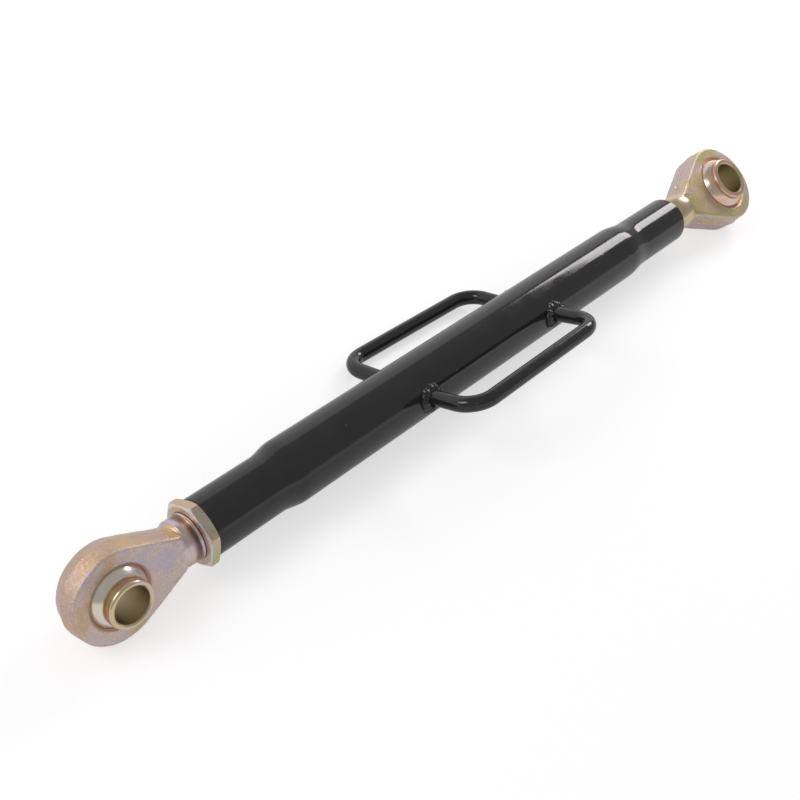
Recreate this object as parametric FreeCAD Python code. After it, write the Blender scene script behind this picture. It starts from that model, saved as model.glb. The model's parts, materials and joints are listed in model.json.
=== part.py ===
import FreeCAD, Part
import math
import os

# Adjustable upper link of a tractor's three-point hitch, in millimetres.
# Origin: centre of the near ball, on the barrel's axis. +X runs along the barrel
# to the far eye, +Z is up, and the front of the link is towards -Y.
# The link lies as it comes to rest: on the edge of each eye and on the rear handle.

# Driving dimensions, barrel
barrel_near_x = 72.0
near_neck_length = 59.6
near_swage_length = 20.0
body_length = 420.0
far_swage_length = 28.0
far_neck_length = 66.0
tube_radius = 25.0
neck_radius = 22.0
tube_wall = 4.0
rim_rounding = 1.8

# Driving dimensions, screwed shanks
thread_radius = 18.0
thread_depth = 1.7
thread_pitch = 4.0
thread_crest = 0.6
shank_clearance = 0.05
shank_engaged_length = 146.0
thread_showing = 3.0
neck_inside_barrel = 5.0
collar_radius = 17.2
near_collar_length = 8.0
far_collar_length = 32.0
collar_blend_length = 9.0
collar_blend_radius = 12.5
stem_root_radius = 7.2
stem_root_depth = 8.0

# Driving dimensions, lock nut
nut_thickness = 8.5
nut_across_flats = 44.0
nut_corner_radius = 25.2
nut_face_inset = 0.4
nut_chamfer_depth = 1.4
nut_corner_angle = 28.0

# Driving dimensions, handles
handle_bar_radius = 6.3
handle_bend_radius = 20.0
handle_roll = 25.6
handle_centre_x = 361.5
front_reach = 68.5
front_span = 161.0
front_bar_skew = 0.0
rear_reach = 70.5
rear_span = 155.0
rear_bar_skew = 2.1
rear_handle_lift = 5.0
handle_foot_depth = 5.0
weld_leg = 6.0
weld_height = 6.0
weld_toe = 0.6

# Driving dimensions, near eye and its ball
near_eye_radius = 34.2
near_eye_front_depth = 13.0
near_eye_front_draft = 0.8
near_eye_back_depth = 11.5
near_eye_back_draft = 3.4
near_eye_neck_half_width = 14.5
near_eye_taper_length = 50.0
near_bore_tilt = 18.0
near_ball_radius = 24.0
near_stub_radius = 16.4
near_hole_radius = 12.8

# Driving dimensions, far eye and its ball
far_eye_distance = 94.2
far_eye_radius = 40.5
far_eye_depth = 15.0
far_eye_draft = 1.0
far_eye_neck_half_width = 14.0
far_eye_taper_length = 66.0
far_bore_tilt = 59.4
far_ball_radius = 30.2
far_stub_radius = 21.6
far_hole_radius = 16.0

# Driving dimensions, shared by both eyes and both balls
ball_width = 51.0
ball_clearance = 0.05
stub_rounding = 2.0
hole_chamfer = 1.0
eye_edge_chamfer = 1.2

# Places that follow from the driving dimensions
near_swage_x = barrel_near_x + near_neck_length
body_near_x = near_swage_x + near_swage_length
body_far_x = body_near_x + body_length
far_swage_x = body_far_x + far_swage_length
barrel_far_x = far_swage_x + far_neck_length
far_eye_x = barrel_far_x + far_eye_distance
shank_radius = thread_radius - shank_clearance

X_AXIS = FreeCAD.Vector(1, 0, 0)
Y_AXIS = FreeCAD.Vector(0, 1, 0)
Z_AXIS = FreeCAD.Vector(0, 0, 1)
ORIGIN = FreeCAD.Vector(0, 0, 0)


def revolve_about_x(edges):
    """Turn a closed outline in the XY plane, given as edges, once round the X axis."""
    face = Part.Face(Part.Wire(edges))
    return face.revolve(ORIGIN, X_AXIS, 360)


def outline_edges(points):
    """Straight edges through the points of a closed outline, each point an (x, radius) pair."""
    corners = [FreeCAD.Vector(x, radius, 0) for x, radius in points]
    closed = corners + corners[:1]
    return [Part.LineSegment(a, b).toShape() for a, b in zip(closed, closed[1:])]


def swage_edge(x_start, radius_start, x_end, radius_end):
    """Smooth S-shaped step between two radii, level at both ends."""
    curve = Part.BSplineCurve()
    start = FreeCAD.Vector(x_start, radius_start, 0)
    end = FreeCAD.Vector(x_end, radius_end, 0)
    level = FreeCAD.Vector(x_end - x_start, 0, 0)
    curve.interpolate(Points=[start, end], Tangents=[level, level], TangentFlags=[True, True])
    return curve.toShape()


def line_edge(x_start, radius_start, x_end, radius_end):
    """Straight edge between two (x, radius) points."""
    start = FreeCAD.Vector(x_start, radius_start, 0)
    end = FreeCAD.Vector(x_end, radius_end, 0)
    return Part.LineSegment(start, end).toShape()


def rim_edge(x_end, radius, inwards):
    """Quarter round between a barrel end's outside and its flat face."""
    centre = FreeCAD.Vector(x_end + inwards * rim_rounding, radius - rim_rounding, 0)
    side = FreeCAD.Vector(x_end, radius - rim_rounding, 0)
    top = FreeCAD.Vector(centre.x, radius, 0)
    lean = math.sqrt(0.5) * rim_rounding
    middle = FreeCAD.Vector(centre.x - inwards * lean, centre.y + lean, 0)
    return Part.Arc(side, middle, top).toShape(), side, top


def barrel():
    """Steel tube swaged down at both ends, where it is threaded for the shanks."""
    near_rim, near_side, near_top = rim_edge(barrel_near_x, neck_radius, 1)
    far_rim, far_side, far_top = rim_edge(barrel_far_x, neck_radius, -1)
    hollow_radius = tube_radius - tube_wall
    edges = [
        near_rim,
        line_edge(near_top.x, neck_radius, near_swage_x, neck_radius),
        swage_edge(near_swage_x, neck_radius, body_near_x, tube_radius),
        line_edge(body_near_x, tube_radius, body_far_x, tube_radius),
        swage_edge(body_far_x, tube_radius, far_swage_x, neck_radius),
        line_edge(far_swage_x, neck_radius, far_top.x, neck_radius),
        far_rim,
        line_edge(barrel_far_x, far_side.y, barrel_far_x, thread_radius),
        line_edge(barrel_far_x, thread_radius, far_swage_x, thread_radius),
        line_edge(far_swage_x, thread_radius, body_far_x, hollow_radius),
        line_edge(body_far_x, hollow_radius, body_near_x, hollow_radius),
        line_edge(body_near_x, hollow_radius, near_swage_x, thread_radius),
        line_edge(near_swage_x, thread_radius, barrel_near_x, thread_radius),
        line_edge(barrel_near_x, thread_radius, barrel_near_x, near_side.y),
    ]
    return revolve_about_x(edges)


def lock_nut():
    """Hexagon nut with its corners turned round and both faces chamfered."""
    x_front = barrel_near_x - nut_thickness
    flat_radius = nut_across_flats / 2
    corner_radius = flat_radius / math.cos(math.pi / 6)
    corners = []
    for index in range(7):
        angle = math.radians(nut_corner_angle + 60 * index)
        y = corner_radius * math.cos(angle)
        z = corner_radius * math.sin(angle)
        corners.append(FreeCAD.Vector(x_front, y, z))
    hexagon = Part.Face(Part.makePolygon(corners)).extrude(X_AXIS * nut_thickness)
    face_radius = flat_radius - nut_face_inset
    turned = revolve_about_x(outline_edges([
        (x_front, thread_radius),
        (x_front, face_radius),
        (x_front + nut_chamfer_depth, nut_corner_radius),
        (barrel_near_x - nut_chamfer_depth, nut_corner_radius),
        (barrel_near_x, face_radius),
        (barrel_near_x, thread_radius),
    ]))
    return hexagon.common(turned)


def shank(x_start, x_collar, x_thread, x_end):
    """Round shank from inside the eye to its screwed end, with V grooves at the thread's pitch."""
    root = shank_radius - thread_depth
    groove_half = (thread_pitch - thread_crest) / 2
    points = [(x_start, 0), (x_start, stem_root_radius)]
    points.append((x_collar - collar_blend_length, collar_blend_radius))
    points.append((x_collar, collar_radius))
    points.append((x_thread, collar_radius))
    points.append((x_thread, root))
    count = int((x_end - x_thread) / thread_pitch)
    for index in range(count):
        x = x_thread + index * thread_pitch
        points.append((x + groove_half, shank_radius))
        points.append((x + groove_half + thread_crest, shank_radius))
        points.append((x + thread_pitch, root))
    x_last = x_thread + count * thread_pitch
    points.append((x_last + thread_depth, root - thread_depth))
    points.append((x_last + thread_depth, 0))
    return revolve_about_x(outline_edges(points))


def eye_wire(radius, neck_half_width, taper_length, y):
    """Teardrop outline of an eye at one depth of its thickness, its point towards +X."""
    reach = math.hypot(taper_length, neck_half_width)
    angle = math.atan2(neck_half_width, taper_length) + math.acos(radius / reach)
    tangent_x = radius * math.cos(angle)
    tangent_z = radius * math.sin(angle)
    upper = FreeCAD.Vector(taper_length, y, neck_half_width)
    lower = FreeCAD.Vector(taper_length, y, -neck_half_width)
    upper_tangent = FreeCAD.Vector(tangent_x, y, tangent_z)
    lower_tangent = FreeCAD.Vector(tangent_x, y, -tangent_z)
    crown = FreeCAD.Vector(-radius, y, 0)
    return Part.Wire([
        Part.LineSegment(upper, upper_tangent).toShape(),
        Part.Arc(upper_tangent, crown, lower_tangent).toShape(),
        Part.LineSegment(lower_tangent, lower).toShape(),
        Part.LineSegment(lower, upper).toShape(),
    ])


def eye_half(outline, depth, draft):
    """Half of an eye, from its parting line out to the face at y = depth, its edge broken."""
    radius, neck_half_width, taper_length = outline
    shoulder_y = depth - math.copysign(eye_edge_chamfer, depth)
    parting = eye_wire(radius, neck_half_width, taper_length, 0)
    shoulder = eye_wire(radius - draft, neck_half_width - draft, taper_length, shoulder_y)
    trimmed = draft + eye_edge_chamfer
    face = eye_wire(radius - trimmed, neck_half_width - trimmed, taper_length, depth)
    return Part.makeLoft([parting, shoulder, face], True, True)


def eye_end(halves, ball_radius, shank_places):
    """Forged eye and its shank in one piece: eye at the origin, hole along Y, shank along +X."""
    seat = Part.makeSphere(ball_radius + ball_clearance)
    stem = shank(ball_radius - stem_root_depth, *shank_places)
    forging = halves[0].fuse(halves[1]).fuse(stem).cut(seat)
    return forging.removeSplitter()


def near_end():
    """Forging at the near end, its hole's front end raised above level."""
    x_thread = barrel_near_x - nut_thickness - thread_showing
    x_collar = x_thread - near_collar_length
    x_end = barrel_near_x + shank_engaged_length
    outline = (near_eye_radius, near_eye_neck_half_width, near_eye_taper_length)
    front = eye_half(outline, -near_eye_front_depth, near_eye_front_draft)
    back = eye_half(outline, near_eye_back_depth, near_eye_back_draft)
    part = eye_end((front, back), near_ball_radius, (x_collar, x_thread, x_end))
    part.rotate(ORIGIN, X_AXIS, -near_bore_tilt)
    return part


def far_end():
    """Forging at the far end, screwed straight into the barrel with no nut."""
    x_thread = far_eye_distance + neck_inside_barrel
    x_collar = x_thread - far_collar_length
    x_end = far_eye_distance + shank_engaged_length
    outline = (far_eye_radius, far_eye_neck_half_width, far_eye_taper_length)
    front = eye_half(outline, far_eye_depth, far_eye_draft)
    back = eye_half(outline, -far_eye_depth, far_eye_draft)
    part = eye_end((front, back), far_ball_radius, (x_collar, x_thread, x_end))
    part.rotate(ORIGIN, Z_AXIS, 180)
    part.rotate(ORIGIN, X_AXIS, -far_bore_tilt)
    part.translate(FreeCAD.Vector(far_eye_x, 0, 0))
    return part


def ball(ball_radius, stub_radius, hole_radius):
    """Bored ball with a short stub each side, its hole along Y."""
    half = ball_width / 2
    join = math.sqrt(ball_radius ** 2 - stub_radius ** 2)
    lean = math.sqrt(0.5) * stub_rounding
    centre_r = stub_radius - stub_rounding
    centre_y = half - stub_rounding
    edges = []
    for side in (1, -1):
        rounding_start = FreeCAD.Vector(stub_radius, side * centre_y, 0)
        rounding_middle = FreeCAD.Vector(centre_r + lean, side * (centre_y + lean), 0)
        rounding_end = FreeCAD.Vector(centre_r, side * half, 0)
        bore_edge = FreeCAD.Vector(hole_radius + hole_chamfer, side * half, 0)
        bore_wall = FreeCAD.Vector(hole_radius, side * (half - hole_chamfer), 0)
        sphere_edge = FreeCAD.Vector(stub_radius, side * join, 0)
        edges.append(Part.LineSegment(sphere_edge, rounding_start).toShape())
        edges.append(Part.Arc(rounding_start, rounding_middle, rounding_end).toShape())
        edges.append(Part.LineSegment(rounding_end, bore_edge).toShape())
        edges.append(Part.LineSegment(bore_edge, bore_wall).toShape())
    upper = FreeCAD.Vector(stub_radius, join, 0)
    lower = FreeCAD.Vector(stub_radius, -join, 0)
    equator = FreeCAD.Vector(ball_radius, 0, 0)
    edges.append(Part.Arc(upper, equator, lower).toShape())
    wall_top = FreeCAD.Vector(hole_radius, half - hole_chamfer, 0)
    wall_foot = FreeCAD.Vector(hole_radius, hole_chamfer - half, 0)
    edges.append(Part.LineSegment(wall_top, wall_foot).toShape())
    outline = Part.Wire(Part.__sortEdges__(edges))
    return Part.Face(outline).revolve(ORIGIN, Y_AXIS, 360)


def near_ball():
    """Ball of the near eye."""
    part = ball(near_ball_radius, near_stub_radius, near_hole_radius)
    part.rotate(ORIGIN, X_AXIS, -near_bore_tilt)
    return part


def far_ball():
    """Ball of the far eye, for a thicker pin."""
    part = ball(far_ball_radius, far_stub_radius, far_hole_radius)
    part.rotate(ORIGIN, X_AXIS, -far_bore_tilt)
    part.translate(FreeCAD.Vector(far_eye_x, 0, 0))
    return part


def bend_arc(start, corner, end):
    """Arc of the bend radius from start to end, tangent to both runs that meet at corner."""
    middle = (start + end) * 0.5
    half_chord = (end - start).Length / 2
    inwards = (middle - corner).normalize()
    centre_depth = math.sqrt(handle_bend_radius ** 2 - half_chord ** 2)
    centre = middle + inwards * centre_depth
    crown = centre - inwards * handle_bend_radius
    return Part.Arc(start, crown, end).toShape()


def handle(reach, span, skew):
    """Bar bent into a U that reaches out along +Y, its feet cut to sit on the tube."""
    half = span / 2
    slope = math.tan(math.radians(skew))
    near_reach = reach + slope * half
    far_reach = reach - slope * half
    foot = tube_radius - handle_foot_depth
    near_run = handle_bend_radius * math.tan(math.radians(90 + skew) / 2)
    far_run = handle_bend_radius * math.tan(math.radians(90 - skew) / 2)
    along = FreeCAD.Vector(math.cos(math.radians(skew)), -math.sin(math.radians(skew)), 0)
    near_corner = FreeCAD.Vector(-half, near_reach, 0)
    far_corner = FreeCAD.Vector(half, far_reach, 0)
    path_points = [
        FreeCAD.Vector(-half, foot, 0),
        near_corner - Y_AXIS * near_run,
        near_corner + along * near_run,
        far_corner - along * far_run,
        far_corner - Y_AXIS * far_run,
        FreeCAD.Vector(half, foot, 0),
    ]
    near_bend = bend_arc(path_points[1], near_corner, path_points[2])
    far_bend = bend_arc(path_points[3], far_corner, path_points[4])
    path = Part.Wire([
        Part.LineSegment(path_points[0], path_points[1]).toShape(),
        near_bend,
        Part.LineSegment(path_points[2], path_points[3]).toShape(),
        far_bend,
        Part.LineSegment(path_points[4], path_points[5]).toShape(),
    ])
    section = Part.Wire(Part.makeCircle(handle_bar_radius, path_points[0], Y_AXIS))
    bar = path.makePipeShell([section], True, False)
    tube = Part.makeCylinder(tube_radius, span * 2, FreeCAD.Vector(-span, 0, 0), X_AXIS)
    return bar.cut(tube)


def weld(reach_x):
    """Fillet weld round a handle's foot, between the bar and the tube."""
    outer = handle_bar_radius + weld_leg
    base = math.sqrt(tube_radius ** 2 - outer ** 2)
    height = tube_radius + weld_height - base
    start = FreeCAD.Vector(reach_x, base, 0)
    bead = Part.makeCone(outer, handle_bar_radius + weld_toe, height, start, Y_AXIS)
    foot = FreeCAD.Vector(reach_x, 0, 0)
    bar = Part.makeCylinder(handle_bar_radius, tube_radius * 2, foot, Y_AXIS)
    tube_start = FreeCAD.Vector(reach_x - tube_radius, 0, 0)
    tube = Part.makeCylinder(tube_radius, tube_radius * 2, tube_start, X_AXIS)
    return bead.cut(bar).cut(tube)


def place_on_barrel(part, angle):
    """Turn a handle's part from +Y round the barrel's axis and move it along the barrel."""
    part.rotate(ORIGIN, X_AXIS, angle)
    part.translate(FreeCAD.Vector(handle_centre_x, 0, 0))
    return part


front_angle = 180 - handle_roll
rear_angle = rear_handle_lift - handle_roll

pieces = {
    "barrel_tube": barrel(),
    "lock_nut": lock_nut(),
    "near_eye_end": near_end(),
    "near_ball": near_ball(),
    "far_eye_end": far_end(),
    "far_ball": far_ball(),
    "front_handle": place_on_barrel(handle(front_reach, front_span, front_bar_skew), front_angle),
    "rear_handle": place_on_barrel(handle(rear_reach, rear_span, rear_bar_skew), rear_angle),
}
for side, span, angle in (("front", front_span, front_angle), ("rear", rear_span, rear_angle)):
    for end, foot_x in (("near", -span / 2), ("far", span / 2)):
        pieces[f"{side}_handle_{end}_weld"] = place_on_barrel(weld(foot_x), angle)

os.makedirs("parts", exist_ok=True)
for name, shape in pieces.items():
    box = shape.BoundBox
    print(name, "valid", shape.isValid(), "solids", len(shape.Solids), "volume", round(shape.Volume),
          "x", round(box.XMin, 1), round(box.XMax, 1), "y", round(box.YMin, 1), round(box.YMax, 1),
          "z", round(box.ZMin, 2), round(box.ZMax, 2))
    shape.exportStep(f"parts/{name}.step")
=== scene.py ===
import json
import math

import bmesh
import bpy
from mathutils import Matrix, Vector, noise


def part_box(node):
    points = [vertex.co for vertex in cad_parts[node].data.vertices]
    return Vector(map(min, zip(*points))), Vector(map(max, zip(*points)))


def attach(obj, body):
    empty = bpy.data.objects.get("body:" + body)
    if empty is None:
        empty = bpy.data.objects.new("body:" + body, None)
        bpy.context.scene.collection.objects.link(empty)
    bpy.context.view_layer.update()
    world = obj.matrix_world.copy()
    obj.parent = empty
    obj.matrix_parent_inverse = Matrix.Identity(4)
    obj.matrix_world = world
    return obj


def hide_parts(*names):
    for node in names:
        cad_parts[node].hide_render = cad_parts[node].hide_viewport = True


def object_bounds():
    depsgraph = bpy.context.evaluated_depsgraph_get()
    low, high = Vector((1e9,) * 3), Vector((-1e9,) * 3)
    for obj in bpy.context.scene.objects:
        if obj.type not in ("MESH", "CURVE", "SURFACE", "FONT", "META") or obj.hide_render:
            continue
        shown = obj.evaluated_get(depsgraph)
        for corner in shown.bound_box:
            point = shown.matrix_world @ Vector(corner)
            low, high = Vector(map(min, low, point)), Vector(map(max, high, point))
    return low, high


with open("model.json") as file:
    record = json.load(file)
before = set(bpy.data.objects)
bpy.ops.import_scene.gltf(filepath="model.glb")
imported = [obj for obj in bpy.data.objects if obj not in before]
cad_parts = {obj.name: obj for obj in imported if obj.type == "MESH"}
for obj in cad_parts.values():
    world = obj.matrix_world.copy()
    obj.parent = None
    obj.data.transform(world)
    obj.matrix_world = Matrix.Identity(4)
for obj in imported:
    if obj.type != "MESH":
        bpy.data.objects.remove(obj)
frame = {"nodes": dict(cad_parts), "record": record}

bl_info = {
    "name": "Tractor Top Link",
    "version": (1, 0, 0),
    "blender": (4, 5, 0),
    "location": "View3D > Sidebar > Top Link",
    "description": "Paints, plates and forges the pieces of a tractor's top link",
    "category": "Object",
}

MM = 0.001
NODES = frame["nodes"]
MOUNTS = {mount["name"]: mount for mount in frame["record"]["mounts"]}
NEAR_BORE = MOUNTS["near_pin_hole"]
FAR_BORE = MOUNTS["far_pin_hole"]
FAR_EYE_X = FAR_BORE["pos_m"][0]
BARREL_RADIUS = (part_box("barrel_tube")[1].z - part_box("barrel_tube")[0].z) / 2
FLOOR_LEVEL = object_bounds()[0].z
X_AXIS = Vector((1, 0, 0))

# Sizes of the solids that the frame doesn't give by name, in millimetres
NEAR_BALL_RADIUS = 24.0
NEAR_STUB_RADIUS = 16.4
NEAR_EYE_DEPTHS = (13.0, 11.5)
NEAR_SHANK_START = 52.1
FAR_BALL_RADIUS = 30.2
FAR_STUB_RADIUS = 21.6
FAR_EYE_DEPTHS = (15.0, 15.0)
FAR_SHANK_START = 66.6
HANDLE_BAR_RADIUS = 6.3

# Forged skin of the eyes, in millimetres: how far the head runs on over the shank, where the
# stem's root lies from the shank's start, how near to the ball a point counts as its seat, how
# much of the seat moves with its lip, how deep the bevel reaches, over what lengths the marks
# and the skin fade, how wide the dents are, and the ridge along the parting line
HEAD_OVERLAP = 0.5
STEM_ROOT = (1.2, 17.0)
SEAT_CLEARANCE = 0.05
SEAT_REACH = 0.45
SEAT_LIP_LENGTH = 2.0
BEVEL_REACH = 1.2
FRONT_BLEND = 1.6
TURNED_BLEND = 6.0
SKIN_FADE = 3.0
DENT_WIDTHS = (2.6, 8.0)
FLASH_HALF_WIDTH = 0.9
FLASH_BLOB_WIDTH = 5.0

# Weld beads, in millimetres where they are sizes
BEAD_OFFSET = 1.3
BEAD_SECTION_POINTS = 18
BEAD_STEPS = 120
BEAD_SPATTER_WIDTH = 3.0
BEAD_SPATTER_HEIGHT = 0.35

# Marks on the forged eyes' points, which their plating reads: how far a point is on the drafted
# side, on the front half, on the ball opening's bevel and on turned steel, and its distance
# from the bore's axis in millimetres
EYE_MARKS = ("side_band", "front_half", "seat_edge", "turned", "face_radius")

# Sockets of a Mix node, several of which share a name, and its colour output
FACTOR = 0
NUMBER_A, NUMBER_B = 2, 3
COLOUR_A, COLOUR_B = 6, 7
MIXED_COLOUR = 2

# Where the photograph was taken from, in metres, and the camera's own axes there
CAMERA_PLACE = (-0.2414, -0.3353, 0.5811)
CAMERA_RIGHT = (0.6621, -0.7315, 0.1627)
CAMERA_UP = (0.4409, 0.5558, 0.7047)
CAMERA_BACK = (-0.6060, -0.3949, 0.6906)
SENSOR_WIDTH = 36

# Lamps: name, which power it has, width and length, place and aim, in metres
LAMPS = (
    ("key lamp", "key_power", (1.1, 0.85), (2.42, 0.38, 1.2), (2.42, 0.38, 0)),
    ("fill lamp", "fill_power", (0.8, 0.8), (-1.0, 0.7, 1.3), (0.2, 0, 0)),
)
LAMP_COLOUR = (1.0, 0.94, 0.97)

# Floor, in metres, and the light that it gives off towards the camera and towards mirrors
FLOOR_HALF_WIDTH = 12
FLOOR_MIDDLE_X = 0.38
FLOOR_GAP = 0.0002
FLOOR_WHITE = 0.62
FLOOR_GLOW = 0.60
FLOOR_MIRRORED_GLOW = 0.30

# How high the white backdrop stands behind and in front of the link, in degrees, and how
# softly it meets the ceiling, as a share of the looking direction
BACKDROP_RISE = 46
FRONT_RISE = 14
CEILING_BLEND = 0.03


def linear(hex_text):
    """Linear colour of an sRGB hex value such as #c8a878."""
    channels = [int(hex_text[i:i + 2], 16) / 255 for i in (1, 3, 5)]
    return [c / 12.92 if c <= 0.04045 else ((c + 0.055) / 1.055) ** 2.4 for c in channels]


def per(size_mm):
    """Texture scale at which one feature is size_mm across."""
    return 1 / (size_mm * MM)


def share_of(value):
    """The value, held between 0 and 1."""
    return min(1, max(0, value))


def add_node(material, kind, inputs=None, stops=(), **settings):
    """Add a node with its settings, its ramp's stops, and its inputs' values or links."""
    node = material.node_tree.nodes.new(kind)
    for name, value in settings.items():
        setattr(node, name, value)
    for position, colour in stops:
        node.color_ramp.elements.new(position).color = (*colour, 1)
    if stops:
        node.color_ramp.elements.remove(node.color_ramp.elements[0])
        node.color_ramp.elements.remove(node.color_ramp.elements[-1])
    for name, value in (inputs or {}).items():
        socket = node.inputs[name]
        if isinstance(value, bpy.types.NodeSocket):
            material.node_tree.links.new(value, socket)
        else:
            socket.default_value = value
    return node


def new_material(name):
    """Material with no nodes yet."""
    material = bpy.data.materials.new(name)
    material.use_nodes = True
    material.node_tree.nodes.clear()
    return material


def assign(piece, material):
    """Give a piece this material alone."""
    piece.data.materials.clear()
    piece.data.materials.append(material)


class FinishColours(bpy.types.PropertyGroup):
    """Colours of the paint and of the plating."""

    enamel: bpy.props.FloatVectorProperty(
        name="Black enamel", description="Body colour of the gloss paint",
        subtype="COLOR", size=3, min=0, max=1, default=linear("#282626"))
    zinc_tan: bpy.props.FloatVectorProperty(
        name="Zinc tan", description="Warm patches of the passivated zinc",
        subtype="COLOR", size=3, min=0, max=1, default=linear("#dcbfa4"))
    zinc_rose: bpy.props.FloatVectorProperty(
        name="Zinc rose", description="Pink patches of the passivated zinc",
        subtype="COLOR", size=3, min=0, max=1, default=linear("#dfccc4"))
    zinc_lilac: bpy.props.FloatVectorProperty(
        name="Zinc lilac", description="Cool patches of the passivated zinc",
        subtype="COLOR", size=3, min=0, max=1, default=linear("#d2c5cf"))
    zinc_gold: bpy.props.FloatVectorProperty(
        name="Zinc gold", description="Thick yellow passivation on the drafted sides",
        subtype="COLOR", size=3, min=0, max=1, default=linear("#e6c089"))
    zinc_olive: bpy.props.FloatVectorProperty(
        name="Zinc olive", description="Green patches of the passivated zinc",
        subtype="COLOR", size=3, min=0, max=1, default=linear("#cfc591"))
    # Bright zinc of the near ball, and also the colour of the painted highlight round the nut's
    # front edge.
    zinc_silver_and_highlight: bpy.props.FloatVectorProperty(
        name="Zinc silver", description="Bright zinc with hardly any passivation",
        subtype="COLOR", size=3, min=0, max=1, default=linear("#ece7e8"))
    zinc_copper: bpy.props.FloatVectorProperty(
        name="Zinc copper", description="Orange-pink passivation on turned faces",
        subtype="COLOR", size=3, min=0, max=1, default=linear("#e8c1a9"))
    # Darker colour inside the pin holes: painted shade.
    bore_painted_shade: bpy.props.FloatVectorProperty(
        name="Bore brown", description="Thin plating deep inside the pin holes",
        subtype="COLOR", size=3, min=0, max=1, default=linear("#c4b79e"))


class ForgingSizes(bpy.types.PropertyGroup):
    """Sizes of the eyes' forged surface and of the weld beads."""

    grid: bpy.props.FloatProperty(
        name="Surface grid", description="Distance between the points of the forged surface",
        unit="LENGTH", min=0.0004, max=0.003, default=0.6 * MM, precision=5)
    scale_depth: bpy.props.FloatProperty(
        name="Scale depth", description="Height of the dents that forging scale leaves",
        unit="LENGTH", min=0, max=0.001, default=0.14 * MM, precision=5)
    flash_height: bpy.props.FloatProperty(
        name="Flash height", description="Height of the ridge along the parting line",
        unit="LENGTH", min=0, max=0.002, default=0.55 * MM, precision=5)
    near_flash: bpy.props.FloatProperty(
        name="Near flash", description="Share of the flash height that the near eye has",
        min=0, max=3, default=0.35)
    far_flash: bpy.props.FloatProperty(
        name="Far flash", description="Share of the flash height that the far eye has",
        min=0, max=3, default=1.5)
    seat_chamfer: bpy.props.FloatProperty(
        name="Seat chamfer", description="Width of the bevel round each ball's opening",
        unit="LENGTH", min=0, max=0.006, default=3.0 * MM, precision=5)
    seat_drop: bpy.props.FloatProperty(
        name="Seat drop", description="Depth of the bevel round each ball's opening",
        unit="LENGTH", min=0, max=0.004, default=1.6 * MM, precision=5)
    bead_radius: bpy.props.FloatProperty(
        name="Bead radius", description="Radius of the weld bead's section",
        unit="LENGTH", min=0.002, max=0.008, default=4.6 * MM, precision=5)
    bead_ripples: bpy.props.IntProperty(
        name="Bead ripples", description="Ripples round one weld", min=4, max=40, default=13)


class StudioSizes(bpy.types.PropertyGroup):
    """Camera lens, and light of the lamps and the room."""

    focal_length: bpy.props.FloatProperty(
        name="Focal length", description="Lens of the camera in millimetres",
        min=20, max=200, default=49.5)
    key_power: bpy.props.FloatProperty(
        name="Key power", description="Power of the wide lamp beyond the far end",
        unit="POWER", min=0, max=100, default=23)
    fill_power: bpy.props.FloatProperty(
        name="Fill power", description="Power of the lamp behind the near end",
        unit="POWER", min=0, max=100, default=8)
    room_level: bpy.props.FloatProperty(
        name="Room level", description="Strength of the light from all round",
        min=0, max=2, default=0.45)
    backdrop_level: bpy.props.FloatProperty(
        name="Backdrop level", description="Brightness of the backdrop as the link mirrors it",
        min=0, max=2, default=0.86)
    ceiling_level: bpy.props.FloatProperty(
        name="Ceiling level", description="Brightness of the ceiling as the link mirrors it",
        min=0, max=2, default=0.36)


def sprayed_enamel(name, colours, peel_mm, nib_spacing_mm):
    """Sprayed gloss alkyd enamel on steel: deep black, mirror-like, a faint orange peel
    that breaks up reflections, and dust nibs caught in the wet film, whose lighter grey is partly
    dust and partly painted glint."""
    smear_mm = 22
    peel_height_mm = 0.012
    nib_height_mm = 0.12
    thin_film = [c * 0.8 for c in colours.enamel]
    thick_film = [c * 1.25 for c in colours.enamel]
    grey_of_dust_and_glints = [min(1, c * 6) for c in colours.enamel]
    material = new_material(name)
    place = add_node(material, "ShaderNodeTexCoord").outputs["Object"]
    peel = add_node(material, "ShaderNodeTexNoise", {
        "Vector": place, "Scale": per(peel_mm), "Detail": 2.0, "Roughness": 0.5})
    nibs = add_node(material, "ShaderNodeTexVoronoi", {
        "Vector": place, "Scale": per(nib_spacing_mm), "Randomness": 1.0}, feature="F1")
    nib_shape = add_node(material, "ShaderNodeMapRange", {
        "Value": nibs.outputs["Distance"], "From Min": 0.0, "From Max": 0.07,
        "To Min": 1.0, "To Max": 0.0}, interpolation_type="SMOOTHSTEP")
    smear = add_node(material, "ShaderNodeTexNoise", {
        "Vector": place, "Scale": per(smear_mm), "Detail": 4.0, "Roughness": 0.6})
    gloss = add_node(material, "ShaderNodeMapRange", {
        "Value": smear.outputs["Fac"], "From Min": 0.35, "From Max": 0.7,
        "To Min": 0.07, "To Max": 0.16})
    film = add_node(material, "ShaderNodeMix", {
        FACTOR: smear.outputs["Fac"], COLOUR_A: (*thin_film, 1), COLOUR_B: (*thick_film, 1)},
        data_type="RGBA")
    # Lighter grey on the nibs: partly the dust's colour, partly painted glints.
    dust_and_glint_specks = add_node(material, "ShaderNodeMix", {
        FACTOR: nib_shape.outputs["Result"], COLOUR_A: film.outputs[MIXED_COLOUR],
        COLOUR_B: (*grey_of_dust_and_glints, 1)}, data_type="RGBA")
    peel_bump = add_node(material, "ShaderNodeBump", {
        "Height": peel.outputs["Fac"], "Strength": 1.0, "Distance": peel_height_mm * MM})
    nib_bump = add_node(material, "ShaderNodeBump", {
        "Height": nib_shape.outputs["Result"], "Normal": peel_bump.outputs["Normal"],
        "Strength": 1.0, "Distance": nib_height_mm * MM})
    shader = add_node(material, "ShaderNodeBsdfPrincipled", {
        "Base Color": dust_and_glint_specks.outputs[MIXED_COLOUR], "Roughness": gloss.outputs["Result"],
        "Metallic": 0.0, "IOR": 1.5, "Normal": nib_bump.outputs["Normal"]})
    add_node(material, "ShaderNodeOutputMaterial", {"Surface": shader.outputs["BSDF"]})
    return material


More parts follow.
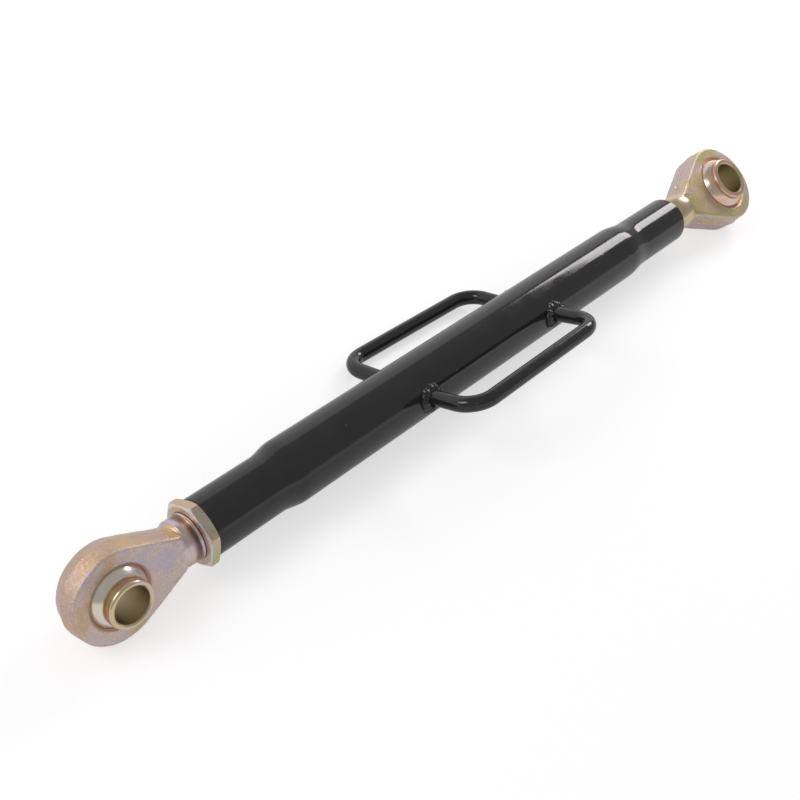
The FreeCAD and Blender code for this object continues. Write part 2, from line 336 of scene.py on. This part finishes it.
def forged_zinc(name, face_colours, front_side, back_side):
    """Shot-blasted steel forging, zinc plated and yellow passivated: a satin metal with a
    fine blasted grain, whose colour drifts in patches and is warmest on the drafted sides."""
    patch_mm = 24
    gilding_mm = 30
    grain_mm = 1.1
    grain_height_mm = 0.42
    ring_height_mm = 0.16
    rings_per_mm = 1.3
    seat_brown = linear("#cba084")
    material = new_material(name)
    place = add_node(material, "ShaderNodeTexCoord").outputs["Object"]
    marks = {mark: add_node(material, "ShaderNodeAttribute", attribute_name=mark).outputs["Fac"]
             for mark in EYE_MARKS}
    drift = add_node(material, "ShaderNodeTexNoise", {
        "Vector": place, "Scale": per(patch_mm), "Detail": 3.0, "Roughness": 0.55,
        "Distortion": 0.5})
    patches = add_node(material, "ShaderNodeValToRGB", {"Fac": drift.outputs["Fac"]},
                       stops=list(zip((0.36, 0.44, 0.52, 0.62), face_colours)))
    gilding = add_node(material, "ShaderNodeTexNoise", {
        "Vector": place, "Scale": per(gilding_mm), "Detail": 2.0, "Roughness": 0.5})
    gilt = add_node(material, "ShaderNodeMapRange", {
        "Value": gilding.outputs["Fac"], "From Min": 0.42, "From Max": 0.60})
    front_share = add_node(material, "ShaderNodeMath", {
        0: marks["front_half"], 1: gilt.outputs["Result"]}, operation="MULTIPLY")
    side_colour = add_node(material, "ShaderNodeMix", {
        FACTOR: front_share.outputs[0], COLOUR_A: (*back_side, 1), COLOUR_B: (*front_side, 1)},
        data_type="RGBA")
    side_share = add_node(material, "ShaderNodeMath", {
        0: marks["side_band"], 1: 0.85}, operation="MULTIPLY")
    banded = add_node(material, "ShaderNodeMix", {
        FACTOR: side_share.outputs[0], COLOUR_A: patches.outputs["Color"],
        COLOUR_B: side_colour.outputs[MIXED_COLOUR]}, data_type="RGBA")
    edged = add_node(material, "ShaderNodeMix", {
        FACTOR: marks["seat_edge"], COLOUR_A: banded.outputs[MIXED_COLOUR],
        COLOUR_B: (*seat_brown, 1)}, data_type="RGBA")
    grain = add_node(material, "ShaderNodeTexNoise", {
        "Vector": place, "Scale": per(grain_mm), "Detail": 4.0, "Roughness": 0.75})
    speckle = add_node(material, "ShaderNodeMapRange", {
        "Value": grain.outputs["Fac"], "From Min": 0.32, "From Max": 0.68,
        "To Min": 0.74, "To Max": 1.16})
    even = add_node(material, "ShaderNodeMix", {
        FACTOR: marks["turned"], NUMBER_A: speckle.outputs["Result"], NUMBER_B: 1.0},
        data_type="FLOAT")
    speckled = add_node(material, "ShaderNodeVectorMath", {
        0: edged.outputs[MIXED_COLOUR], "Scale": even.outputs[0]}, operation="SCALE")
    finish = add_node(material, "ShaderNodeMapRange", {
        "Value": grain.outputs["Fac"], "From Min": 0.3, "From Max": 0.7,
        "To Min": 0.30, "To Max": 0.46})
    side_finish = add_node(material, "ShaderNodeMix", {
        FACTOR: marks["side_band"], NUMBER_A: finish.outputs["Result"], NUMBER_B: 0.26},
        data_type="FLOAT")
    smooth_finish = add_node(material, "ShaderNodeMix", {
        FACTOR: marks["turned"], NUMBER_A: side_finish.outputs[0], NUMBER_B: 0.30},
        data_type="FLOAT")
    blasted = add_node(material, "ShaderNodeMath", {
        0: 1.0, 1: marks["turned"]}, operation="SUBTRACT")
    rings = add_node(material, "ShaderNodeTexNoise", {
        "W": marks["face_radius"], "Scale": rings_per_mm, "Detail": 2.0}, noise_dimensions="1D")
    ring_bump = add_node(material, "ShaderNodeBump", {
        "Height": rings.outputs["Fac"], "Strength": 0.5, "Distance": ring_height_mm * MM})
    bump = add_node(material, "ShaderNodeBump", {
        "Height": grain.outputs["Fac"], "Normal": ring_bump.outputs["Normal"],
        "Strength": blasted.outputs[0], "Distance": grain_height_mm * MM})
    shader = add_node(material, "ShaderNodeBsdfPrincipled", {
        "Base Color": speckled.outputs[0], "Roughness": smooth_finish.outputs[0],
        "Metallic": 1.0, "Normal": bump.outputs["Normal"]})
    add_node(material, "ShaderNodeOutputMaterial", {"Surface": shader.outputs["BSDF"]})
    return material


def turned_zinc(name, bore, stub_radius_mm, ball_colours, stub_colours, bore_shade_colour):
    """Lathe-turned steel, zinc plated and yellow passivated: brighter than the forging,
    with fine rings from the tool, and darker inside the pin bore, which is painted shade."""
    ring_mm = 0.8
    ring_height_mm = 0.05
    patch_mm = 17
    patch_stops = (0.38, 0.50, 0.62)
    bore_radius_mm = bore["dims"]["r_mm"]
    centre = bore["pos_m"]
    axis = bore["axis"]
    material = new_material(name)
    place = add_node(material, "ShaderNodeTexCoord").outputs["Object"]
    about = add_node(material, "ShaderNodeVectorMath", {
        0: place, 1: centre}, operation="SUBTRACT")
    depth = add_node(material, "ShaderNodeVectorMath", {
        0: about.outputs[0], 1: axis}, operation="DOT_PRODUCT")
    along = add_node(material, "ShaderNodeVectorMath", {
        0: axis, "Scale": depth.outputs["Value"]}, operation="SCALE")
    across = add_node(material, "ShaderNodeVectorMath", {
        0: about.outputs[0], 1: along.outputs[0]}, operation="SUBTRACT")
    radius = add_node(material, "ShaderNodeVectorMath", {
        0: across.outputs[0]}, operation="LENGTH")
    rings_place = add_node(material, "ShaderNodeCombineXYZ", {
        "X": radius.outputs["Value"], "Y": depth.outputs["Value"]})
    rings = add_node(material, "ShaderNodeTexNoise", {
        "Vector": rings_place.outputs[0], "Scale": per(ring_mm), "Detail": 1.0})
    drift = add_node(material, "ShaderNodeTexNoise", {
        "Vector": place, "Scale": per(patch_mm), "Detail": 2.0, "Distortion": 0.8})
    stub_tint = add_node(material, "ShaderNodeValToRGB", {"Fac": drift.outputs["Fac"]},
                         stops=list(zip(patch_stops, stub_colours)))
    ball_tint = add_node(material, "ShaderNodeValToRGB", {"Fac": drift.outputs["Fac"]},
                         stops=list(zip(patch_stops, ball_colours)))
    past_stub = add_node(material, "ShaderNodeMapRange", {
        "Value": radius.outputs["Value"], "From Min": (stub_radius_mm + 0.1) * MM,
        "From Max": (stub_radius_mm + 0.6) * MM})
    outside = add_node(material, "ShaderNodeMix", {
        FACTOR: past_stub.outputs["Result"], COLOUR_A: stub_tint.outputs["Color"],
        COLOUR_B: ball_tint.outputs["Color"]}, data_type="RGBA")
    # Towards the pin bore the colour turns to the darker bore colour: painted shade.
    in_bore = add_node(material, "ShaderNodeMapRange", {
        "Value": radius.outputs["Value"], "From Min": (bore_radius_mm + 0.2) * MM,
        "From Max": (bore_radius_mm + 0.8) * MM, "To Min": 1.0, "To Max": 0.0})
    bored = add_node(material, "ShaderNodeMix", {
        FACTOR: in_bore.outputs["Result"], COLOUR_A: outside.outputs[MIXED_COLOUR],
        COLOUR_B: (*bore_shade_colour, 1)}, data_type="RGBA")
    finish = add_node(material, "ShaderNodeMapRange", {
        "Value": rings.outputs["Fac"], "From Min": 0.3, "From Max": 0.7,
        "To Min": 0.18, "To Max": 0.30})
    bored_finish = add_node(material, "ShaderNodeMix", {
        FACTOR: in_bore.outputs["Result"], NUMBER_A: finish.outputs["Result"], NUMBER_B: 0.38},
        data_type="FLOAT")
    bump = add_node(material, "ShaderNodeBump", {
        "Height": rings.outputs["Fac"], "Strength": 0.6, "Distance": ring_height_mm * MM})
    shader = add_node(material, "ShaderNodeBsdfPrincipled", {
        "Base Color": bored.outputs[MIXED_COLOUR], "Roughness": bored_finish.outputs[0],
        "Metallic": 1.0, "Normal": bump.outputs["Normal"]})
    add_node(material, "ShaderNodeOutputMaterial", {"Surface": shader.outputs["BSDF"]})
    return material


def nut_zinc(name, colours):
    """Cold-formed steel nut, zinc plated and yellow passivated: rose faces with shallow
    tumbling marks, olive and grey sides, and a painted highlight of silver round the front edge."""
    patch_mm = 20
    tumbling_mm = 1.4
    tumbling_height_mm = 0.1
    grey_zinc = linear("#cfc8bb")
    near_face_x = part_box("lock_nut")[0].x
    material = new_material(name)
    place = add_node(material, "ShaderNodeTexCoord").outputs["Object"]
    drift = add_node(material, "ShaderNodeTexNoise", {
        "Vector": place, "Scale": per(patch_mm), "Detail": 3.0, "Distortion": 0.5})
    face = add_node(material, "ShaderNodeValToRGB", {"Fac": drift.outputs["Fac"]}, stops=(
        (0.38, colours.zinc_tan), (0.50, colours.zinc_rose), (0.62, colours.zinc_tan)))
    sides = add_node(material, "ShaderNodeValToRGB", {"Fac": drift.outputs["Fac"]}, stops=(
        (0.40, colours.zinc_olive), (0.50, grey_zinc), (0.60, colours.zinc_tan)))
    place_parts = add_node(material, "ShaderNodeSeparateXYZ", {0: place})
    past_chamfer = add_node(material, "ShaderNodeMapRange", {
        "Value": place_parts.outputs["X"], "From Min": near_face_x + 0.9 * MM,
        "From Max": near_face_x + 1.5 * MM})
    past_face = add_node(material, "ShaderNodeMapRange", {
        "Value": place_parts.outputs["X"], "From Min": near_face_x + 0.05 * MM,
        "From Max": near_face_x + 0.25 * MM})
    # Silver band from just behind the front face to the chamfer: a painted highlight along the
    # nut's front edge.
    face_and_painted_highlight = add_node(material, "ShaderNodeMix", {
        FACTOR: past_face.outputs["Result"], COLOUR_A: face.outputs["Color"],
        COLOUR_B: (*colours.zinc_silver_and_highlight, 1)}, data_type="RGBA")
    whole = add_node(material, "ShaderNodeMix", {
        FACTOR: past_chamfer.outputs["Result"], COLOUR_A: face_and_painted_highlight.outputs[MIXED_COLOUR],
        COLOUR_B: sides.outputs["Color"]}, data_type="RGBA")
    tumbling = add_node(material, "ShaderNodeTexNoise", {
        "Vector": place, "Scale": per(tumbling_mm), "Detail": 3.0, "Roughness": 0.6})
    speckle = add_node(material, "ShaderNodeMapRange", {
        "Value": tumbling.outputs["Fac"], "From Min": 0.3, "From Max": 0.7,
        "To Min": 0.86, "To Max": 1.08})
    speckled = add_node(material, "ShaderNodeVectorMath", {
        0: whole.outputs[MIXED_COLOUR], "Scale": speckle.outputs["Result"]}, operation="SCALE")
    finish = add_node(material, "ShaderNodeMapRange", {
        "Value": tumbling.outputs["Fac"], "From Min": 0.3, "From Max": 0.7,
        "To Min": 0.26, "To Max": 0.38})
    bump = add_node(material, "ShaderNodeBump", {
        "Height": tumbling.outputs["Fac"], "Strength": 0.5, "Distance": tumbling_height_mm * MM})
    shader = add_node(material, "ShaderNodeBsdfPrincipled", {
        "Base Color": speckled.outputs[0], "Roughness": finish.outputs["Result"],
        "Metallic": 1.0, "Normal": bump.outputs["Normal"]})
    add_node(material, "ShaderNodeOutputMaterial", {"Surface": shader.outputs["BSDF"]})
    return material


def merged_copy(node_name):
    """Bmesh copy of a CAD node with its loose triangles joined."""
    shape = bmesh.new()
    shape.from_mesh(NODES[node_name].data)
    bmesh.ops.remove_doubles(shape, verts=shape.verts, dist=0.005 * MM)
    bmesh.ops.recalc_face_normals(shape, faces=shape.faces)
    return shape


def keep_side(shape, plane_x, towards_far):
    """Cut a bmesh across the barrel's axis, keep one side and close the cut."""
    everything = shape.verts[:] + shape.edges[:] + shape.faces[:]
    bmesh.ops.bisect_plane(shape, geom=everything, dist=0.001 * MM,
                           plane_co=(plane_x, 0, 0), plane_no=X_AXIS,
                           clear_inner=towards_far, clear_outer=not towards_far)
    rim = [edge for edge in shape.edges if edge.is_boundary]
    bmesh.ops.holes_fill(shape, edges=rim, sides=0)
    bmesh.ops.recalc_face_normals(shape, faces=shape.faces)


def finished_piece(name, shape, body, sharp_degrees):
    """Object from a bmesh, smooth shaded but for edges sharper than the angle."""
    mesh = bpy.data.meshes.new(name)
    shape.to_mesh(mesh)
    shape.free()
    mesh.polygons.foreach_set("use_smooth", [True] * len(mesh.polygons))
    mesh.set_sharp_from_angle(angle=math.radians(sharp_degrees))
    piece = bpy.data.objects.new(name, mesh)
    bpy.context.scene.collection.objects.link(piece)
    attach(piece, body)
    return piece


def remeshed(shape, grid):
    """Even grid of faces over a closed bmesh, as a new bmesh."""
    mesh = bpy.data.meshes.new("blank")
    shape.to_mesh(mesh)
    shape.free()
    blank = bpy.data.objects.new("blank", mesh)
    bpy.context.scene.collection.objects.link(blank)
    voxels = blank.modifiers.new("grid", "REMESH")
    voxels.mode = "VOXEL"
    voxels.voxel_size = grid
    evaluated = blank.evaluated_get(bpy.context.evaluated_depsgraph_get())
    even = bmesh.new()
    even.from_mesh(evaluated.to_mesh())
    bpy.data.objects.remove(blank)
    bpy.data.meshes.remove(mesh)
    return even


def smoothed(shape, verts, rounds):
    """Even out some of a bmesh's points, several times over."""
    for _ in range(rounds):
        bmesh.ops.smooth_vert(shape, verts=verts, factor=0.5,
                              use_axis_x=True, use_axis_y=True, use_axis_z=True)


def forge_eye(name, node_name, body, cut_x, bore, ball_radius, depths, flash_height, sizes):
    """Eye with a forged skin, a raised parting line and a bevelled opening for its ball,
    and the turned and threaded shank as the frame has it."""
    centre = Vector(bore["pos_m"])
    axis = Vector(bore["axis"])
    towards_far = centre.x > cut_x
    overlap = HEAD_OVERLAP * MM if towards_far else -HEAD_OVERLAP * MM
    head = merged_copy(node_name)
    keep_side(head, cut_x - overlap, towards_far)
    head = remeshed(head, sizes.grid)
    smoothed(head, head.verts, 3)
    root_start, root_end = [edge * MM for edge in STEM_ROOT]
    root = [v for v in head.verts if root_start < abs(cut_x - v.co.x) < root_end]
    smoothed(head, root, 24)
    head.normal_update()
    marks = {mark: head.verts.layers.float.new(mark) for mark in EYE_MARKS}
    seat_radius = ball_radius + SEAT_CLEARANCE * MM
    for vert in head.verts:
        place = vert.co - centre
        depth = place.dot(axis)
        across = place - axis * depth
        radius = across.length
        to_shank = abs(cut_x - vert.co.x)
        vert[marks["side_band"]] = share_of(1.25 - 1.6 * abs(vert.normal.dot(axis)))
        vert[marks["front_half"]] = share_of(0.5 + depth / (FRONT_BLEND * MM))
        vert[marks["turned"]] = share_of(1 - to_shank / (TURNED_BLEND * MM))
        vert[marks["face_radius"]] = radius / MM
        half = depths[0] if depth > 0 else depths[1]
        opening = math.sqrt(seat_radius ** 2 - half ** 2)
        lip = half - sizes.seat_drop
        lip_radius = math.sqrt(seat_radius ** 2 - lip ** 2)
        bevel_end = opening + sizes.seat_chamfer
        if place.length < seat_radius + SEAT_REACH * MM:
            vert[marks["turned"]] = 1
            start = lip - SEAT_LIP_LENGTH * MM
            if abs(depth) > start:
                share = min(1, (abs(depth) - start) / (half - start))
                depth = math.copysign(start + share * (lip - start), depth)
            ring = math.sqrt(seat_radius ** 2 - depth ** 2)
            vert.co = centre + across.normalized() * ring + axis * depth
        elif abs(depth) > half - BEVEL_REACH * MM and radius < bevel_end:
            share = max(0, (radius - opening) / sizes.seat_chamfer)
            vert[marks["seat_edge"]] = min(1, 3 - 3 * share)
            ring = lip_radius + share * (bevel_end - lip_radius)
            depth = math.copysign(lip + share * (abs(depth) - lip), depth)
            vert.co = centre + across.normalized() * ring + axis * depth
        else:
            fine, broad = [noise.noise(vert.co * per(width)) for width in DENT_WIDTHS]
            blob = noise.noise(vert.co * per(FLASH_BLOB_WIDTH) + Vector((3, 7, 1)))
            ridge = max(0, 1 - abs(depth) / (FLASH_HALF_WIDTH * MM)) * vert[marks["side_band"]]
            lift = (fine + 0.8 * broad) * sizes.scale_depth
            lift += ridge * (0.7 + 2.0 * max(0, blob)) * flash_height
            vert.co += vert.normal * lift * min(1, to_shank / (SKIN_FADE * MM))
    shank = merged_copy(node_name)
    keep_side(shank, cut_x, not towards_far)
    shank_marks = {mark: shank.verts.layers.float.new(mark) for mark in EYE_MARKS}
    for vert in shank.verts:
        vert[shank_marks["turned"]] = 1
    shank_mesh = bpy.data.meshes.new("shank")
    shank.to_mesh(shank_mesh)
    shank.free()
    head.from_mesh(shank_mesh)
    bpy.data.meshes.remove(shank_mesh)
    piece = finished_piece(name, head, body, sharp_degrees=40)
    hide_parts(node_name)
    return piece


def weld_bead(name, node_name, seed, sizes):
    """Hand-laid fillet bead round a handle's foot: overlapping ripples on the tube's curve."""
    low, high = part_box(node_name)
    middle = (low + high) / 2
    foot = Vector((middle.x, 0, 0))
    outwards = Vector((0, middle.y, middle.z)).normalized()
    sideways = X_AXIS.cross(outwards).normalized()
    ring_radius = (HANDLE_BAR_RADIUS + BEAD_OFFSET) * MM
    bead = bmesh.new()
    upright = Matrix.Translation((ring_radius, 0, 0)) @ Matrix.Rotation(math.pi / 2, 4, "X")
    bmesh.ops.create_circle(bead, cap_ends=False, segments=BEAD_SECTION_POINTS,
                            radius=sizes.bead_radius, matrix=upright)
    bmesh.ops.spin(bead, geom=bead.verts[:] + bead.edges[:], cent=(0, 0, 0), axis=(0, 0, 1),
                   angle=math.tau, steps=BEAD_STEPS, use_merge=True, use_duplicate=False)
    bmesh.ops.remove_doubles(bead, verts=bead.verts, dist=0.001 * MM)
    bmesh.ops.recalc_face_normals(bead, faces=bead.faces)
    for vert in bead.verts:
        angle = math.atan2(vert.co.y, vert.co.x)
        spine = Vector((math.cos(angle), math.sin(angle), 0)) * ring_radius
        ripple = 0.5 + 0.5 * math.cos(angle * sizes.bead_ripples + seed)
        lump = noise.noise(Vector((math.cos(angle), math.sin(angle), seed)) * 2.3)
        swell = 0.86 + 0.16 * ripple ** 2 + 0.30 * lump
        local = spine + (vert.co - spine) * swell
        level = math.sqrt(max(0, BARREL_RADIUS ** 2 - local.y ** 2))
        spatter = noise.noise(local * per(BEAD_SPATTER_WIDTH) + Vector((seed, 0, 0)))
        local += local.normalized() * spatter * BEAD_SPATTER_HEIGHT * MM
        vert.co = foot + X_AXIS * local.x + sideways * local.y + outwards * (local.z + level)
    bmesh.ops.recalc_face_normals(bead, faces=bead.faces)
    piece = finished_piece(name, bead, "barrel", sharp_degrees=60)
    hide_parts(node_name)
    return piece


class TOPLINK_OT_paint_barrel(bpy.types.Operator):
    """Spray the barrel with gloss black enamel"""

    bl_idname = "toplink.paint_barrel"
    bl_label = "Paint Barrel"

    def execute(self, context):
        colours = context.scene.top_link_finish
        paint = sprayed_enamel("sprayed black enamel on tube", colours,
                               peel_mm=2.2, nib_spacing_mm=16)
        assign(NODES["barrel_tube"], paint)
        return {"FINISHED"}


class TOPLINK_OT_paint_handles(bpy.types.Operator):
    """Spray both hand bars with gloss black enamel"""

    bl_idname = "toplink.paint_handles"
    bl_label = "Paint Handles"

    def execute(self, context):
        colours = context.scene.top_link_finish
        paint = sprayed_enamel("sprayed black enamel on bar", colours,
                               peel_mm=1.6, nib_spacing_mm=11)
        for name in ("front_handle", "rear_handle"):
            assign(NODES[name], paint)
        return {"FINISHED"}


class TOPLINK_OT_lay_welds(bpy.types.Operator):
    """Lay a rippled bead round each handle foot and paint it"""

    bl_idname = "toplink.lay_welds"
    bl_label = "Lay Weld Beads"

    def execute(self, context):
        colours = context.scene.top_link_finish
        sizes = context.scene.top_link_forging
        paint = sprayed_enamel("sprayed black enamel on weld", colours,
                               peel_mm=1.2, nib_spacing_mm=9)
        seeds = {"front_near": 1.7, "front_far": 6.0, "rear_near": 3.8, "rear_far": 8.1}
        for place, seed in seeds.items():
            side, end = place.split("_")
            bead = weld_bead(f"{side}_{end}_weld_bead", f"{side}_handle_{end}_weld", seed, sizes)
            assign(bead, paint)
        return {"FINISHED"}


class TOPLINK_OT_forge_eyes(bpy.types.Operator):
    """Give both eye ends their forged and plated surface"""

    bl_idname = "toplink.forge_eyes"
    bl_label = "Forge Eye Ends"

    def execute(self, context):
        colours = context.scene.top_link_finish
        sizes = context.scene.top_link_forging
        near = forge_eye(
            "near_eye_forging", "near_eye_end", "near_end", cut_x=NEAR_SHANK_START * MM,
            bore=NEAR_BORE, ball_radius=NEAR_BALL_RADIUS * MM,
            depths=[depth * MM for depth in NEAR_EYE_DEPTHS],
            flash_height=sizes.near_flash * sizes.flash_height, sizes=sizes)
        assign(near, forged_zinc(
            "yellow zinc on near forging",
            face_colours=(colours.zinc_tan, colours.zinc_rose, colours.zinc_rose,
                          colours.zinc_lilac),
            front_side=colours.zinc_gold, back_side=linear("#d5b8a8")))
        far = forge_eye(
            "far_eye_forging", "far_eye_end", "far_end", cut_x=FAR_EYE_X - FAR_SHANK_START * MM,
            bore=FAR_BORE, ball_radius=FAR_BALL_RADIUS * MM,
            depths=[depth * MM for depth in FAR_EYE_DEPTHS],
            flash_height=sizes.far_flash * sizes.flash_height, sizes=sizes)
        assign(far, forged_zinc(
            "yellow zinc on far forging",
            face_colours=(colours.zinc_olive, linear("#d3c699"), linear("#dcc8a2"),
                          colours.zinc_rose),
            front_side=linear("#e2c6ac"), back_side=linear("#d8c3c3")))
        return {"FINISHED"}


class TOPLINK_OT_plate_nut(bpy.types.Operator):
    """Plate the lock nut"""

    bl_idname = "toplink.plate_nut"
    bl_label = "Plate Lock Nut"

    def execute(self, context):
        colours = context.scene.top_link_finish
        assign(NODES["lock_nut"], nut_zinc("yellow zinc on formed nut", colours))
        return {"FINISHED"}


class TOPLINK_OT_plate_balls(bpy.types.Operator):
    """Plate the turned balls"""

    bl_idname = "toplink.plate_balls"
    bl_label = "Plate Balls"

    def execute(self, context):
        colours = context.scene.top_link_finish
        assign(NODES["near_ball"], turned_zinc(
            "yellow zinc on turned near ball", NEAR_BORE, NEAR_STUB_RADIUS,
            ball_colours=(linear("#ece4d4"), colours.zinc_silver_and_highlight, linear("#e4d9e4")),
            stub_colours=(linear("#d9cfa6"), linear("#e3cba6"), colours.zinc_rose),
            bore_shade_colour=colours.bore_painted_shade))
        assign(NODES["far_ball"], turned_zinc(
            "yellow zinc on turned far ball", FAR_BORE, FAR_STUB_RADIUS,
            ball_colours=(colours.zinc_copper, linear("#ebcfbe"), linear("#e6d2cb")),
            stub_colours=(linear("#dfbc97"), colours.zinc_copper, linear("#dfc1b3")),
            bore_shade_colour=linear("#c6bd9d")))
        return {"FINISHED"}


class TOPLINK_OT_set_stage(bpy.types.Operator):
    """Set up the pale floor, the lamps and the camera"""

    bl_idname = "toplink.set_stage"
    bl_label = "Set Stage"

    def execute(self, context):
        scene = context.scene
        studio = scene.top_link_studio
        self.lay_floor(scene)
        self.light_room(scene, studio)
        self.hang_lamps(scene, studio)
        self.place_camera(scene, studio)
        scene.view_settings.view_transform = "Standard"
        return {"FINISHED"}

    def lay_floor(self, scene):
        """Matt white board that shows white to the camera and keeps the link's shadow."""
        slab = bmesh.new()
        bmesh.ops.create_grid(slab, x_segments=1, y_segments=1, size=FLOOR_HALF_WIDTH)
        bmesh.ops.translate(slab, verts=slab.verts,
                            vec=(FLOOR_MIDDLE_X, 0, FLOOR_LEVEL - FLOOR_GAP))
        mesh = bpy.data.meshes.new("floor")
        slab.to_mesh(mesh)
        slab.free()
        floor = bpy.data.objects.new("floor", mesh)
        scene.collection.objects.link(floor)
        material = new_material("matt white board")
        rays = add_node(material, "ShaderNodeLightPath")
        glossy = add_node(material, "ShaderNodeMath", {
            0: rays.outputs["Is Camera Ray"], 1: rays.outputs["Is Glossy Ray"]},
            operation="MAXIMUM")
        shown = add_node(material, "ShaderNodeMath", {
            0: glossy.outputs[0], 1: rays.outputs["Is Transmission Ray"]}, operation="MAXIMUM")
        level = add_node(material, "ShaderNodeMix", {
            FACTOR: rays.outputs["Is Camera Ray"], NUMBER_A: FLOOR_MIRRORED_GLOW,
            NUMBER_B: FLOOR_GLOW}, data_type="FLOAT")
        glow = add_node(material, "ShaderNodeEmission", {
            "Color": (1, 1, 1, 1), "Strength": level.outputs[0]})
        board = add_node(material, "ShaderNodeBsdfDiffuse", {
            "Color": (FLOOR_WHITE, FLOOR_WHITE, FLOOR_WHITE, 1)})
        lit = add_node(material, "ShaderNodeAddShader", {0: glow.outputs[0], 1: board.outputs[0]})
        chosen = add_node(material, "ShaderNodeMixShader", {
            0: shown.outputs[0], 1: board.outputs[0], 2: lit.outputs[0]})
        add_node(material, "ShaderNodeOutputMaterial", {"Surface": chosen.outputs[0]})
        assign(floor, material)

    def light_room(self, scene, studio):
        """White room that the camera sees as plain white. The link mirrors its backdrop
        and its dimmer ceiling, which meet higher behind the link than in front of it."""
        world = bpy.data.worlds.new("white room")
        scene.world = world
        world.use_nodes = True
        world.node_tree.nodes.clear()
        rays = add_node(world, "ShaderNodeLightPath")
        seen = add_node(world, "ShaderNodeMath", {
            0: rays.outputs["Is Camera Ray"], 1: rays.outputs["Is Transmission Ray"]},
            operation="MAXIMUM")
        way = add_node(world, "ShaderNodeTexCoord").outputs["Generated"]
        way_parts = add_node(world, "ShaderNodeSeparateXYZ", {0: way})
        above_back = add_node(world, "ShaderNodeMath", {
            0: way_parts.outputs["Y"], 1: -math.tan(math.radians(BACKDROP_RISE)),
            2: way_parts.outputs["Z"]}, operation="MULTIPLY_ADD")
        above_front = add_node(world, "ShaderNodeMath", {
            0: way_parts.outputs["Y"], 1: math.tan(math.radians(FRONT_RISE)),
            2: way_parts.outputs["Z"]}, operation="MULTIPLY_ADD")
        above = add_node(world, "ShaderNodeMath", {
            0: above_back.outputs[0], 1: above_front.outputs[0]}, operation="MINIMUM")
        wall = add_node(world, "ShaderNodeMapRange", {
            "Value": above.outputs[0], "From Min": -CEILING_BLEND, "From Max": CEILING_BLEND,
            "To Min": studio.backdrop_level, "To Max": studio.ceiling_level})
        mirrored = add_node(world, "ShaderNodeMix", {
            FACTOR: rays.outputs["Is Glossy Ray"], NUMBER_A: studio.room_level,
            NUMBER_B: wall.outputs["Result"]}, data_type="FLOAT")
        strength = add_node(world, "ShaderNodeMix", {
            FACTOR: seen.outputs[0], NUMBER_A: mirrored.outputs[0], NUMBER_B: 1.0},
            data_type="FLOAT")
        background = add_node(world, "ShaderNodeBackground", {
            "Color": (1, 1, 1, 1), "Strength": strength.outputs[0]})
        add_node(world, "ShaderNodeOutputWorld", {"Surface": background.outputs[0]})

    def hang_lamps(self, scene, studio):
        """Wide soft lamps of a faintly pink white."""
        for name, power, spread, place, target in LAMPS:
            lamp = bpy.data.lights.new(name, "AREA")
            lamp.shape = "RECTANGLE"
            lamp.size, lamp.size_y = spread
            lamp.energy = getattr(studio, power)
            lamp.color = LAMP_COLOUR
            holder = bpy.data.objects.new(name, lamp)
            holder.location = place
            aim = Vector(target) - Vector(place)
            holder.rotation_euler = aim.to_track_quat("-Z", "Y").to_euler()
            scene.collection.objects.link(holder)

    def place_camera(self, scene, studio):
        """Camera where the photograph was taken from."""
        lens = bpy.data.cameras.new("photo camera")
        lens.lens = studio.focal_length
        lens.sensor_width = SENSOR_WIDTH
        camera = bpy.data.objects.new("photo camera", lens)
        turn = Matrix((CAMERA_RIGHT, CAMERA_UP, CAMERA_BACK)).transposed().to_4x4()
        camera.matrix_world = Matrix.Translation(CAMERA_PLACE) @ turn
        scene.collection.objects.link(camera)
        scene.camera = camera


class TOPLINK_PT_sidebar(bpy.types.Panel):
    """Colours, sizes and steps of the top link"""

    bl_label = "Top Link"
    bl_idname = "TOPLINK_PT_sidebar"
    bl_space_type = "VIEW_3D"
    bl_region_type = "UI"
    bl_category = "Top Link"

    def draw(self, context):
        for group in (context.scene.top_link_finish, context.scene.top_link_forging,
                      context.scene.top_link_studio):
            box = self.layout.box()
            for name in group.__annotations__:
                box.prop(group, name)
        for operator in OPERATORS:
            self.layout.operator(operator.bl_idname)


OPERATORS = (
    TOPLINK_OT_paint_barrel,
    TOPLINK_OT_paint_handles,
    TOPLINK_OT_lay_welds,
    TOPLINK_OT_forge_eyes,
    TOPLINK_OT_plate_nut,
    TOPLINK_OT_plate_balls,
    TOPLINK_OT_set_stage,
)
CLASSES = (FinishColours, ForgingSizes, StudioSizes, *OPERATORS, TOPLINK_PT_sidebar)


def register():
    for cls in CLASSES:
        bpy.utils.register_class(cls)
    bpy.types.Scene.top_link_finish = bpy.props.PointerProperty(type=FinishColours)
    bpy.types.Scene.top_link_forging = bpy.props.PointerProperty(type=ForgingSizes)
    bpy.types.Scene.top_link_studio = bpy.props.PointerProperty(type=StudioSizes)


def unregister():
    del bpy.types.Scene.top_link_studio
    del bpy.types.Scene.top_link_forging
    del bpy.types.Scene.top_link_finish
    for cls in reversed(CLASSES):
        bpy.utils.unregister_class(cls)


def main():
    """Dress the whole link."""
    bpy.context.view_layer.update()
    register()
    bpy.ops.toplink.paint_barrel()
    bpy.ops.toplink.paint_handles()
    bpy.ops.toplink.lay_welds()
    bpy.ops.toplink.forge_eyes()
    bpy.ops.toplink.plate_nut()
    bpy.ops.toplink.plate_balls()
    bpy.ops.toplink.set_stage()
    bpy.context.view_layer.update()


if __name__ == "__main__":
    main()
